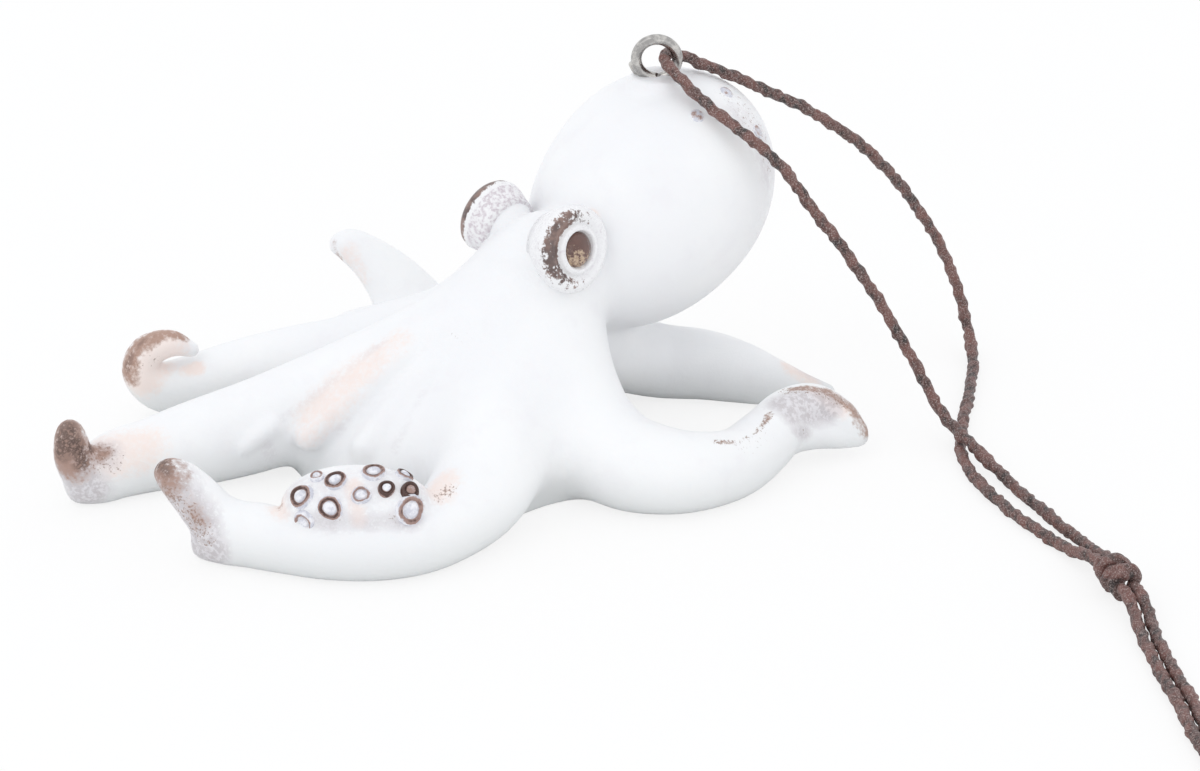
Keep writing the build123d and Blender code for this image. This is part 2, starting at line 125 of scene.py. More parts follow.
# Each arm from its root to its tip: along the half length, along the half depth, the lift of its
# underside in crown heights, and its thickness
arms = {
    "right_front": [
        (0.12, 0.02, 0.36, 0.95),
        (0.19, -0.06, 0.26, 1.04),
        (0.25, -0.15, 0.14, 1.10),
        (0.31, -0.24, 0.045, 1.10),
        (0.385, -0.32, 0.00, 1.03),
        (0.475, -0.37, 0.00, 0.94),
        (0.57, -0.35, 0.00, 0.84),
        (0.67, -0.25, 0.00, 0.74),
        (0.75, -0.10, 0.03, 0.68),
        (0.81, 0.03, 0.085, 0.58),
        (0.875, 0.10, 0.115, 0.46),
        (0.945, 0.10, 0.095, 0.34),
        (0.99, 0.065, 0.07, 0.20),
    ],
    "right_back": [
        (0.18, 0.30, 0.27, 0.92),
        (0.29, 0.41, 0.15, 0.90),
        (0.39, 0.50, 0.065, 0.87),
        (0.49, 0.55, 0.01, 0.83),
        (0.60, 0.55, 0.00, 0.79),
        (0.69, 0.52, 0.00, 0.70),
        (0.78, 0.49, 0.00, 0.54),
        (0.86, 0.50, 0.00, 0.35),
        (0.93, 0.53, 0.00, 0.18),
    ],
    "back_right": [
        (0.15, 0.20, 0.24, 0.80),
        (0.20, 0.45, 0.105, 0.87),
        (0.21, 0.66, 0.01, 0.83),
        (0.24, 0.82, 0.00, 0.73),
        (0.32, 0.895, 0.00, 0.63),
        (0.42, 0.895, 0.00, 0.53),
        (0.48, 0.86, 0.00, 0.43),
        (0.49, 0.78, 0.00, 0.32),
        (0.45, 0.73, 0.00, 0.18),
    ],
    "back_left": [
        (0.06, 0.30, 0.28, 0.87),
        (0.00, 0.50, 0.12, 0.90),
        (-0.07, 0.68, 0.04, 0.86),
        (-0.14, 0.80, 0.09, 0.80),
        (-0.205, 0.87, 0.215, 0.67),
        (-0.265, 0.905, 0.33, 0.52),
        (-0.325, 0.925, 0.415, 0.40),
        (-0.355, 0.93, 0.445, 0.28),
    ],
    "left_back": [
        (0.02, 0.26, 0.20, 0.80),
        (-0.12, 0.42, 0.12, 0.83),
        (-0.23, 0.56, 0.10, 0.80),
        (-0.30, 0.67, 0.06, 0.72),
        (-0.335, 0.78, 0.02, 0.60),
        (-0.345, 0.87, 0.00, 0.40),
        (-0.32, 0.94, 0.00, 0.29),
        (-0.275, 0.96, 0.00, 0.16),
    ],
    "left_curled": [
        (0.08, 0.18, 0.36, 0.90),
        (-0.04, 0.22, 0.26, 1.02),
        (-0.18, 0.29, 0.165, 1.03),
        (-0.33, 0.37, 0.085, 0.95),
        (-0.47, 0.43, 0.04, 0.87),
        (-0.61, 0.44, 0.01, 0.78),
        (-0.73, 0.41, 0.00, 0.67),
        (-0.81, 0.375, 0.04, 0.54),
        (-0.85, 0.362, 0.13, 0.45),
        (-0.835, 0.362, 0.225, 0.38),
        (-0.775, 0.367, 0.275, 0.30),
        (-0.72, 0.373, 0.27, 0.16),
    ],
    "left_front": [
        (0.06, 0.04, 0.42, 0.92),
        (-0.06, 0.01, 0.32, 1.03),
        (-0.20, -0.02, 0.21, 1.05),
        (-0.35, -0.04, 0.115, 1.03),
        (-0.51, -0.075, 0.03, 1.00),
        (-0.66, -0.14, 0.00, 0.92),
        (-0.78, -0.20, 0.00, 0.79),
        (-0.87, -0.26, 0.00, 0.72),
        (-0.93, -0.31, 0.00, 0.52),
        (-0.96, -0.34, 0.02, 0.20),
    ],
    "front": [
        (0.09, -0.06, 0.25, 1.02),
        (0.09, -0.24, 0.15, 1.13),
        (0.075, -0.41, 0.06, 1.15),
        (0.04, -0.57, 0.01, 1.03),
        (-0.02, -0.71, 0.00, 0.86),
        (-0.10, -0.82, 0.00, 0.74),
        (-0.20, -0.868, 0.00, 0.68),
        (-0.31, -0.862, 0.00, 0.66),
        (-0.41, -0.82, 0.00, 0.66),
        (-0.51, -0.77, 0.00, 0.67),
        (-0.585, -0.745, 0.00, 0.50),
        (-0.625, -0.735, 0.01, 0.20),
    ],
}

# The finger that stands up at the end of an arm, in the same shares
fingers = {
    "left_front": [
        (-0.90, -0.30, 0.01, 0.47),
        (-0.94, -0.335, 0.06, 0.46),
        (-0.96, -0.35, 0.13, 0.42),
        (-0.966, -0.35, 0.21, 0.36),
        (-0.967, -0.35, 0.27, 0.27),
        (-0.967, -0.35, 0.305, 0.12),
    ],
    "front": [
        (-0.54, -0.75, 0.01, 0.58),
        (-0.595, -0.735, 0.085, 0.54),
        (-0.635, -0.727, 0.17, 0.49),
        (-0.67, -0.725, 0.245, 0.42),
        (-0.695, -0.725, 0.295, 0.30),
        (-0.71, -0.725, 0.325, 0.13),
    ],
}

# The leaf at the end of the right front arm: its crest and the white lobe under it
leaf = [
    [
        (0.76, -0.12, 0.17, 0.30),
        (0.81, -0.02, 0.19, 0.28),
        (0.87, 0.04, 0.19, 0.25),
        (0.93, 0.06, 0.15, 0.22),
        (0.975, 0.05, 0.10, 0.19),
        (1.0, 0.04, 0.065, 0.12),
    ],
    [
        (0.82, -0.04, 0.07, 0.34),
        (0.88, 0.00, 0.065, 0.33),
        (0.94, 0.01, 0.06, 0.27),
        (0.985, 0.02, 0.06, 0.17),
    ],
]

# Low folds of skin on the web between the arms, in the same shares
folds = [
    [(-0.48, -0.225, 0.245, 0.15), (-0.515, -0.245, 0.215, 0.14), (-0.545, -0.26, 0.185, 0.09)],
    [(-0.15, -0.13, 0.475, 0.28), (-0.26, -0.178, 0.342, 0.30), (-0.39, -0.24, 0.186, 0.28)],
    [(-0.08, -0.17, 0.445, 0.28), (-0.157, -0.227, 0.33, 0.30), (-0.245, -0.33, 0.192, 0.28)],
    [(-0.02, -0.205, 0.415, 0.28), (-0.04, -0.274, 0.327, 0.30), (-0.078, -0.395, 0.183, 0.28)],
]

# The cord's route: the control points of each stretch, in millimetres
cord_diameter = 1.5
front_strand_points = [
    (25.3, 20.5, 47.7),
    (25.3, 19.0, 47.7),
    (26.5, 17.4, 46.8),
    (29.0, 15.4, 44.9),
    (33.4, 13.0, 41.6),
    (39.3, 12.6, 37.3),
    (44.4, 13.4, 29.7),
    (51.2, 12.0, 20.9),
    (56.9, 9.6, 11.8),
    (60.5, 7.4, 5.2),
    (62.8, 4.6, 2.6),
    (65.2, -0.6, 2.4),
    (68.4, -6.4, 0.8),
    (72.4, -16.0, 0.8),
    (76.0, -23.6, 0.8),
    (77.2, -28.0, 1.4),
    (78.39, -31.2, 2.4),
    (79.09, -33.5, 2.4),
]
back_strand_points = [
    (25.3, 20.5, 47.7),
    (25.3, 22.0, 47.7),
    (26.7, 23.6, 47.3),
    (30.2, 24.2, 45.6),
    (36.6, 25.4, 42.4),
    (45.2, 28.8, 37.2),
    (53.3, 32.8, 30.1),
    (60.1, 36.0, 20.9),
    (65.2, 37.4, 11.5),
    (67.6, 35.6, 3.4),
    (68.1, 29.0, 0.8),
    (66.4, 18.2, 0.8),
    (64.4, 7.6, 0.8),
    (63.5, -1.0, 0.8),
    (65.4, -9.2, 0.8),
    (69.4, -18.4, 0.8),
    (73.5, -25.1, 0.8),
    (75.4, -28.8, 1.4),
    (76.86, -31.66, 2.4),
    (77.56, -33.96, 2.4),
]
right_tail_points = [
    (80.85, -39.24, 2.4),
    (81.4, -41.06, 2.4),
    (82.0, -44.0, 1.4),
    (82.3, -50.0, 0.8),
    (83.4, -57.8, 0.8),
    (84.6, -65.6, 0.8),
    (85.4, -73.6, 0.8),
    (86.6, -81.0, 0.8),
]
left_tail_points = [
    (79.32, -39.71, 2.4),
    (79.87, -41.52, 2.4),
    (80.3, -44.4, 1.4),
    (80.7, -50.2, 0.8),
    (81.7, -58.0, 0.8),
    (82.9, -65.8, 0.8),
    (83.7, -73.6, 0.8),
    (84.8, -79.6, 0.8),
]


def mesh_object(name, points, faces, attributes=None):
    """A smooth-shaded mesh from points in millimetres, with a value at each point for each attribute."""
    mesh = bpy.data.meshes.new(name)
    mesh.from_pydata((np.asarray(points) * MM).tolist(), [], [list(map(int, face)) for face in faces])
    mesh.polygons.foreach_set("use_smooth", [True] * len(mesh.polygons))
    for key, values in (attributes or {}).items():
        layer = mesh.attributes.new(key, "FLOAT", "POINT")
        layer.data.foreach_set("value", np.asarray(values, dtype=np.float32))
    mesh.update()
    piece = bpy.data.objects.new(name, mesh)
    bpy.context.scene.collection.objects.link(piece)
    return piece


def ring_faces(ring_count, around):
    """The four-sided faces between rings of points that are stored one after another."""
    faces = []
    for low in range(0, (ring_count - 1) * around, around):
        for k in range(around):
            after = (k + 1) % around
            faces.append((low + k, low + after, low + around + after, low + around + k))
    return faces


def route_line(name, points):
    """The points of a smooth spline that has the route's points as its control points, in millimetres."""
    curve = bpy.data.curves.new(name + "_route", "CURVE")
    curve.dimensions = "3D"
    curve.resolution_u = 16
    spline = curve.splines.new("NURBS")
    spline.points.add(len(points) - 1)
    for place, point in zip(points, spline.points):
        point.co = (*[value * MM for value in place], 1)
    spline.order_u = 3
    spline.use_endpoint_u = True
    holder = bpy.data.objects.new(name + "_route", curve)
    line_mesh = bpy.data.meshes.new_from_object(holder)
    line = np.array([vertex.co for vertex in line_mesh.vertices]) / MM
    bpy.data.objects.remove(holder)
    bpy.data.curves.remove(curve)
    bpy.data.meshes.remove(line_mesh)
    return line


def evenly_spaced(line, step):
    """The line again, with points about one step apart, and each point's distance along it."""
    runs = np.linalg.norm(np.diff(line, axis=0), axis=1)
    travelled = np.concatenate([[0], np.cumsum(runs)])
    count = max(8, int(travelled[-1] / step))
    marks = np.linspace(0, travelled[-1], count)
    return np.stack([np.interp(marks, travelled, line[:, axis]) for axis in range(3)], axis=1), marks


tube_step = 0.16
first_side_hint = (0.31, 0.2, 0.93)


def tube(name, line, radius_at, around):
    """A closed tube along a line; radius_at gives the radii round it from the distance along and the angle."""
    points, marks = evenly_spaced(line, tube_step)
    tangents = np.gradient(points, axis=0)
    tangents /= np.linalg.norm(tangents, axis=1)[:, None]
    side = np.cross(tangents[0], first_side_hint)
    angles = np.linspace(0, 2 * pi, around, endpoint=False)
    rings = []
    for point, tangent, mark in zip(points, tangents, marks):
        side = side - tangent * side.dot(tangent)
        side /= np.linalg.norm(side)
        other = np.cross(tangent, side)
        radii = radius_at(mark, angles, marks[-1])[:, None]
        rings.append(point + radii * (np.cos(angles)[:, None] * side + np.sin(angles)[:, None] * other))
    vertices = np.concatenate([*rings, [points[0]], [points[-1]]])
    faces = ring_faces(len(rings), around)
    last = (len(rings) - 1) * around
    for k in range(around):
        after = (k + 1) % around
        faces.append((len(vertices) - 2, after, k))
        faces.append((len(vertices) - 1, last + k, last + after))
    return mesh_object(name, vertices, faces)


def mix_shaders(tree, share, first, second):
    """One shader over another by a share."""
    node = tree.nodes.new("ShaderNodeMixShader")
    for socket, value in zip(node.inputs, (share, first, second)):
        tree.links.new(value, socket)
    return node.outputs[0]


class Mixer:
    """A material in the making: its nodes, its shader and the place on the object in metres."""

    def __init__(self, name):
        self.material = bpy.data.materials.new(name)
        self.material.use_nodes = True
        self.nodes = self.material.node_tree.nodes
        self.shader = self.nodes["Principled BSDF"]
        self.where = self.nodes.new("ShaderNodeTexCoord").outputs["Object"]

    def feed(self, socket, value):
        """Puts a number, a colour or another node's value into a socket."""
        if isinstance(value, tuple):
            socket.default_value = (*value, 1)
        elif isinstance(value, (int, float)):
            socket.default_value = value
        else:
            self.material.node_tree.links.new(value, socket)

    def feed_all(self, node, **values):
        """Puts each value into the node's input of that name, with a space for each underscore."""
        for key, value in values.items():
            self.feed(node.inputs[key.replace("_", " ")], value)

    def noise(self, scale, detail=3.0, roughness=0.55):
        """The grey value of a noise texture."""
        node = self.nodes.new("ShaderNodeTexNoise")
        self.feed_all(node, Vector=self.where, Scale=scale, Detail=detail, Roughness=roughness)
        return node.outputs["Fac"]

    def painted(self, key):
        """The value that the mesh keeps at each point under this name."""
        node = self.nodes.new("ShaderNodeAttribute")
        node.attribute_name = key
        return node.outputs["Fac"]

    def spread(self, value, low, high, to_low=0.0, to_high=1.0):
        """A value moved smoothly from one range to another and held inside it."""
        node = self.nodes.new("ShaderNodeMapRange")
        node.interpolation_type = "SMOOTHSTEP"
        self.feed_all(node, Value=value, From_Min=low, From_Max=high, To_Min=to_low, To_Max=to_high)
        return node.outputs["Result"]

    def combine(self, kind, first, second):
        """Two values through one math node; either may be a plain number."""
        node = self.nodes.new("ShaderNodeMath")
        node.operation = kind
        self.feed(node.inputs[0], first)
        self.feed(node.inputs[1], second)
        return node.outputs["Value"]

    def plus(self, first, second):
        return self.combine("ADD", first, second)

    def times(self, first, second):
        return self.combine("MULTIPLY", first, second)

    def tint(self, share, under, over):
        """One colour over another by a share."""
        node = self.nodes.new("ShaderNodeMix")
        node.data_type = "RGBA"
        self.feed_all(node, Factor=share, A=under, B=over)
        return node.outputs["Result"]

    def bump(self, height, distance, strength, **under):
        """The normal from a height, over another Normal if there is one."""
        node = self.nodes.new("ShaderNodeBump")
        self.feed_all(node, Height=height, Distance=distance, Strength=strength, **under)
        return node.outputs["Normal"]

    def done(self, **values):
        """The material, with these values on its shader."""
        self.feed_all(self.shader, **values)
        return self.material


def resin_material():
    """Pearl-white resin with the paints that the mesh keeps: blush, lilac, stain, dark and specks, where some
    lilac strokes are painted shade in the web's folds; the resin is also greyed towards the floor as painted
    shade.
    """
    mixer = Mixer("resin")
    broad = mixer.noise(55, 3)
    middle = mixer.noise(260, 4)
    fine = mixer.noise(1500, 4, 0.65)
    grain = mixer.noise(3600, 2, 0.6)
    stipple = mixer.noise(3000, 3, 0.6)

    colour = mixer.tint(mixer.spread(broad, 0.35, 0.65), (0.86, 0.865, 0.88), (0.89, 0.895, 0.90))
    colour = mixer.tint(mixer.spread(middle, 0.52, 0.75, 0.0, 0.35), colour, (0.83, 0.82, 0.845))
    # Painted shade: the resin is tinted three quarters of the way to grey at the floor, fading out 8.5 mm
    # above it
    apart = mixer.nodes.new("ShaderNodeSeparateXYZ")
    mixer.feed(apart.inputs["Vector"], mixer.where)
    painted_floor_shade = mixer.spread(apart.outputs["Z"], 0.0, 0.0085, 0.75, 0.0)
    colour = mixer.tint(painted_floor_shade, colour, (0.70, 0.715, 0.715))

    ragged = mixer.combine("SUBTRACT", mixer.plus(mixer.times(middle, 0.6), fine), 0.8)
    lilac = mixer.tint(mixer.spread(fine, 0.42, 0.60), (0.44, 0.39, 0.41), (0.68, 0.65, 0.68))
    brown = mixer.tint(mixer.spread(fine, 0.46, 0.62), (0.060, 0.034, 0.028), (0.28, 0.18, 0.145))
    # Each paint's softness at its edge, how far that edge wanders, how well it covers and its colour
    paints = {
        "blush": (0.42, 1.0, 0.32, (0.92, 0.58, 0.42)),
        # Lilac paint, which some strokes on the web also use as painted shade
        "violet_and_painted_shade": (0.38, 1.3, 0.66, lilac),
        "stain": (0.30, 1.3, 0.80, (0.31, 0.15, 0.09)),
        "dark": (0.20, 1.6, 0.92, brown),
    }
    edge_level = 0.42
    for key, (soft, wander, cover, paint) in paints.items():
        painted = mixer.painted(key)
        edge = mixer.times(ragged, mixer.spread(painted, 0.02, 0.25, 0.0, wander))
        share = mixer.spread(mixer.plus(painted, edge), edge_level - soft, edge_level + soft)
        colour = mixer.tint(mixer.times(share, cover), colour, paint)

    speck_level = mixer.plus(mixer.times(mixer.painted("specks"), 0.5), stipple)
    colour = mixer.tint(mixer.spread(speck_level, 0.98, 1.08, 0.0, 0.8), colour, (0.30, 0.20, 0.16))
    mixer.shader.inputs["Subsurface Radius"].default_value = (0.0012, 0.0009, 0.0008)
    return mixer.done(
        Base_Color=colour,
        Roughness=mixer.spread(middle, 0.3, 0.7, 0.42, 0.58),
        Normal=mixer.bump(grain, 0.0001, 0.22, Normal=mixer.bump(middle, 0.0006, 0.16)),
        Subsurface_Weight=0.06,
        Coat_Weight=0.06,
        Coat_Roughness=0.22,
    )


def cord_material():
    """Dark waxed cotton, nearly black to wine brown, with a painted highlight on the crests of its strands
    that leaves painted shade between them, fibres and a soft wax shine.
    """
    mixer = Mixer("waxed_cord")
    cloud = mixer.noise(420, 4, 0.6)
    fibres = mixer.noise(5200, 3, 0.7)
    colour = mixer.tint(mixer.spread(cloud, 0.38, 0.62), (0.024, 0.015, 0.014), (0.16, 0.068, 0.056))
    # Painted highlight: the crests of the strands are tinted lighter, so the valleys between stay darker as
    # painted shade
    crest_highlight = mixer.spread(mixer.painted("crest_highlight"), 0.2, 1.0, 0.0, 0.4)
    colour = mixer.tint(crest_highlight, colour, (0.17, 0.075, 0.062))
    colour = mixer.tint(mixer.spread(fibres, 0.49, 0.66, 0.0, 0.65), colour, (0.48, 0.40, 0.38))
    return mixer.done(
        Base_Color=colour,
        Roughness=mixer.spread(fibres, 0.3, 0.7, 0.32, 0.58),
        Normal=mixer.bump(fibres, 0.00012, 0.6),
    )


def wire_material():
    """Nickel plate, a little clouded."""
    mixer = Mixer("nickel_wire")
    cloud = mixer.noise(900, 4, 0.65)
    grain = mixer.noise(3600, 3)
    return mixer.done(
        Base_Color=mixer.tint(mixer.spread(cloud, 0.36, 0.64), (0.36, 0.35, 0.34), (0.62, 0.60, 0.57)),
        Metallic=1.0,
        Roughness=mixer.spread(grain, 0.3, 0.7, 0.18, 0.30),
        Normal=mixer.bump(grain, 0.00003, 0.35),
    )


def lid_material():
    """Pearl lids with broken brown-black paint on the side that looks up and ahead."""
    mixer = Mixer("lid_paint")
    vein = mixer.noise(1700, 5, 0.72)
    broad = mixer.noise(380, 3)
    level = mixer.times(vein, 2.0)
    for value, weight in ((mixer.painted("side"), 0.42), (mixer.painted("tone"), 0.55), (broad, 0.35)):
        level = mixer.plus(level, mixer.times(value, weight))
    share = mixer.times(mixer.spread(level, 1.86, 2.06), 0.94)
    pearl = mixer.tint(mixer.spread(vein, 0.5, 0.68), (0.88, 0.88, 0.89), (0.78, 0.76, 0.79))
    low_wall = mixer.spread(mixer.painted("tone"), -0.7, -1.5)
    pearl = mixer.tint(mixer.times(mixer.spread(vein, 0.40, 0.62), low_wall), pearl, (0.62, 0.56, 0.60))
    brown = mixer.tint(mixer.spread(broad, 0.40, 0.62), (0.085, 0.043, 0.034), (0.24, 0.14, 0.11))
    return mixer.done(
        Base_Color=mixer.tint(share, pearl, brown),
        Roughness=mixer.spread(vein, 0.3, 0.7, 0.22, 0.42),
        Normal=mixer.bump(vein, 0.0002, 0.5),
    )


def iris_material():
    """Dark glossy brown with a golden glitter towards its lower side."""
    mixer = Mixer("iris_paint")
    glitter = mixer.noise(2600, 4, 0.7)
    cloud = mixer.noise(700, 3)
    brown = mixer.tint(cloud, (0.055, 0.022, 0.018), (0.16, 0.07, 0.05))
    level = mixer.plus(glitter, mixer.times(mixer.painted("side"), 0.17))
    return mixer.done(
        Base_Color=mixer.tint(mixer.spread(level, 0.52, 0.72), brown, (0.52, 0.38, 0.26)),
        Roughness=mixer.spread(cloud, 0.3, 0.7, 0.14, 0.26),
        Normal=mixer.bump(glitter, 0.00004, 0.4),
        Coat_Weight=0.6,
        Coat_Roughness=0.06,
    )


def sucker_material():
    """A pearl disc, a dark brown groove and a brown-washed wall, by the tone along the profile."""
    mixer = Mixer("sucker_paint")
    cloud = mixer.noise(1100, 4, 0.65)
    grain = mixer.noise(4200, 3)
    level = mixer.plus(mixer.painted("tone"), mixer.times(cloud, 1.3))
    pearl = mixer.tint(mixer.spread(cloud, 0.4, 0.6), (0.62, 0.63, 0.70), (0.86, 0.86, 0.90))
    colour = mixer.tint(mixer.spread(level, 1.0, 1.3), pearl, (0.34, 0.22, 0.19))
    return mixer.done(
        Base_Color=mixer.tint(mixer.spread(level, 1.45, 1.75), colour, (0.075, 0.035, 0.028)),
        Roughness=mixer.spread(grain, 0.3, 0.7, 0.18, 0.36),
        Normal=mixer.bump(grain, 0.00006, 0.4),
    )


def floor_material():
    """A white floor that keeps only a faint shadow for the camera."""
    mixer = Mixer("floor")
    colour = mixer.tint(mixer.noise(30, 3), (0.90, 0.90, 0.90), (0.93, 0.93, 0.93))
    material = mixer.done(Base_Color=colour, Roughness=0.9)
    glow = mixer.nodes.new("ShaderNodeEmission")
    mixer.feed_all(glow, Strength=1.0)
    dull = mixer.nodes.new("ShaderNodeBsdfDiffuse")
    mixer.feed_all(dull, Color=(0.92, 0.92, 0.91))
    ray = mixer.nodes.new("ShaderNodeLightPath")
    seen_share = mixer.times(ray.outputs["Is Camera Ray"], 0.8)
    shown = mix_shaders(material.node_tree, seen_share, mixer.shader.outputs[0], glow.outputs[0])
    shown = mix_shaders(material.node_tree, ray.outputs["Is Diffuse Ray"], shown, dull.outputs[0])
    mixer.feed(mixer.nodes["Material Output"].inputs["Surface"], shown)
    return material


resin = resin_material()
cord_look = cord_material()
wire_look = wire_material()
lid_look = lid_material()
iris_look = iris_material()
sucker_look = sucker_material()


def dress(piece, look, slot_name, *nodes):
    """The piece gets its material, rides on the casting and stands for these CAD nodes."""
    piece.data.materials.append(look)
    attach(piece, "root")
    if nodes:
        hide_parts(*nodes)
    return piece


# The cord: three waxed strands twisted together, drawn as one tube with three turning ridges. Its
# heights are shares of the cord's radius, its lengths are in millimetres
twist_length = 6.5
strand_offset = 0.45
strand_radius = 0.55
fullness = 1.03
valley_share = 0.86
longest_stretch = 140
knob_count = 26
knob_length = 0.7
knob_height = 0.34
# Each wave of lumps: its height and its two speeds along the cord. Each wave of bulges to one side:
# its height, how fast it turns round the cord and its speed along it
lump_waves = ((0.09, 1.9, 0.73), (0.07, 4.1, 0.37))
bulge_waves = ((0.13, -0.6, 1.2), (0.07, 1.7, 3.1))
wave_phases = rng.uniform(0, 2 * pi, 6)
lump_phases = wave_phases[:4].reshape(2, 2)
bulge_phases = wave_phases[4:]
knob_marks = rng.uniform(2, longest_stretch, knob_count)
knob_angles = rng.uniform(0, 2 * pi, knob_count)


def cord_radii(mark, angles, length):
    """The cord's radii round one place on it, the same for every stretch whatever its length."""
    turned_by = (angles - 2 * pi * mark / twist_length) % (2 * pi / 3) - pi / 3
    across = strand_offset * np.sin(turned_by)
    ridge = strand_offset * np.cos(turned_by) + np.sqrt(strand_radius**2 - across**2)
    lumps = sum(
        height * sin(mark * quick + first_phase) * sin(mark * slow + second_phase)
        for (height, quick, slow), (first_phase, second_phase) in zip(lump_waves, lump_phases)
    )
    bulges = sum(
        height * np.cos(angles + turning * mark) * sin(mark * speed + phase)
        for (height, turning, speed), phase in zip(bulge_waves, bulge_phases)
    )
    for knob_mark, knob_angle in zip(knob_marks, knob_angles):
        near = np.exp(-(((mark - knob_mark) / knob_length) ** 2))
        if near > 0.01:
            bulges = bulges + knob_height * near * np.maximum(0, np.cos(angles - knob_angle)) ** 3
    return cord_diameter / 2 * (fullness * np.maximum(ridge, valley_share) + lumps + bulges)


def add_crests(piece, line_around):
    """Keeps at each point how far it stands out on its strand, for the cord's painted highlight."""
    coords = np.zeros(len(piece.data.vertices) * 3)
    piece.data.vertices.foreach_get("co", coords)
    rings = coords.reshape(-1, 3)[:-2].reshape(-1, line_around, 3)
    away = np.linalg.norm(rings - rings.mean(axis=1)[:, None], axis=2) / (cord_diameter / 2 * MM)
    crest_highlight = np.clip((away - valley_share) / (1 - valley_share), 0, 1).ravel()
    layer = piece.data.attributes.new("crest_highlight", "FLOAT", "POINT")
    layer.data.foreach_set("value", np.concatenate([crest_highlight, [0, 0]]).astype(np.float32))


cord_around = 30
for name, points in (
    ("front_strand", front_strand_points),
    ("back_strand", back_strand_points),
    ("right_tail", right_tail_points),
    ("left_tail", left_tail_points),
):
    line = route_line(name, points)
    piece = tube("cord_" + name + "_look", line, cord_radii, cord_around)
    add_crests(piece, cord_around)
    dress(piece, cord_look, "cord", "cord_" + name)

# The knot: the doubled cord wound round itself
knot_length = 6.0
knot_margin = 0.06
knot_turns = 3.6
knot_turn_radius = 1.6
knot_end_share = 0.78
knot_sway = 0.7
knot_waver = 0.12
knot_steps = 240
knot_start = (Vector(front_strand_points[-1]) + Vector(back_strand_points[-1])) / 2
knot_axis = (Vector(front_strand_points[-1]) - Vector(front_strand_points[-2])).normalized()
knot_side = knot_axis.cross(up).normalized()
knot_rise = knot_side.cross(knot_axis)


def knot_line():
    """A cord that winds about the knot's axis, wider in the middle, with turns that sway across each other."""
    line = []
    for step in range(knot_steps + 1):
        share = step / knot_steps
        angle = 2 * pi * knot_turns * share
        along = knot_length * (knot_margin + (1 - 2 * knot_margin) * share) + knot_sway * sin(angle / 2)
        swell = knot_end_share + (1 - knot_end_share) * sin(pi * share)
        radius = knot_turn_radius * swell + knot_waver * sin(3 * angle)
        spoke = knot_side * cos(angle) + knot_rise * sin(angle)
        line.append(knot_start + knot_axis * along + spoke * radius)
    return np.array(line)


knot = tube("cord_knot_look", knot_line(), cord_radii, cord_around)
add_crests(knot, cord_around)
dress(knot, cord_look, "cord", "cord_knot")


# The casting as a field of distances, in millimetres, on a grid
voxel = 0.4
far_away = 50.0
grid_low = np.array([-54.0, -39.0, -1.2])
grid_high = np.array([54.5, 39.5, 49.0])
grid_axes = [np.arange(low, high, voxel) for low, high in zip(grid_low, grid_high)]
field = np.full([len(axis) for axis in grid_axes], far_away, dtype=np.float32)


def smooth_rows(rows, steps):
    """The table's rows with more of them between, along a smooth line through them all."""
    rows = np.array(rows, dtype=float)
    padded = np.vstack([2 * rows[0] - rows[1], rows, 2 * rows[-1] - rows[-2]])
    found = []
    for before, start, end, after in zip(padded, padded[1:], padded[2:], padded[3:]):
        for t in np.linspace(0, 1, steps, endpoint=False):
            found.append(
                0.5 * (2 * start + (end - before) * t
                       + (2 * before - 5 * start + 4 * end - after) * t**2
                       + (3 * start - before - 3 * end + after) * t**3)
            )
    found.append(rows[-1])
    return np.array(found)


def region(low, high):
    """The part of the grid between two corners: its slices and its places."""
    slices, places = [], []
    for axis, first, last in zip(grid_axes, low, high):
        start = max(0, int(np.searchsorted(axis, first)) - 1)
        stop = min(len(axis), int(np.searchsorted(axis, last)) + 1)
        slices.append(slice(start, stop))
        places.append(axis[start:stop])
    return tuple(slices), np.meshgrid(*places, indexing="ij", sparse=True)


def melt(first, second, width):
    """The smaller of two distances, with a fillet about as wide as width where they meet."""
    share = np.clip(0.5 + 0.5 * (second - first) / width, 0, 1)
    return second + (first - second) * share - width * share * (1 - share)


def add_form(low, high, distance, width):
    """Joins a form to the casting inside its box."""
    margin = 2 * width + 1
    slices, (x, y, z) = region(np.array(low) - margin, np.array(high) + margin)
    field[slices] = melt(field[slices], distance(x, y, z), width)


limb_steps = 6
least_radius = 0.5


def add_limb(shares, width):
    """Joins a limb that is a chain of round cones."""
    rows = smooth_rows(shares, limb_steps)
    radii = np.maximum(rows[:, 3] * half_arm, least_radius)
    lifts = rows[:, 2] * crown_height + radii - floor_flat
    middles = np.stack([rows[:, 0] * half_length, rows[:, 1] * half_depth, lifts], axis=1)

    def distance(x, y, z):
        near = np.full(np.broadcast_shapes(x.shape, y.shape, z.shape), far_away, dtype=np.float32)
        for start, end, start_radius, end_radius in zip(middles, middles[1:], radii, radii[1:]):
            run = end - start
            along = (x - start[0]) * run[0] + (y - start[1]) * run[1] + (z - start[2]) * run[2]
            t = np.clip(along / run.dot(run), 0, 1)
            away = np.sqrt(
                (x - start[0] - run[0] * t) ** 2
                + (y - start[1] - run[1] * t) ** 2
                + (z - start[2] - run[2] * t) ** 2
            )
            near = np.minimum(near, away - (start_radius + (end_radius - start_radius) * t))
        return near

    add_form((middles - radii[:, None]).min(axis=0), (middles + radii[:, None]).max(axis=0), distance, width)


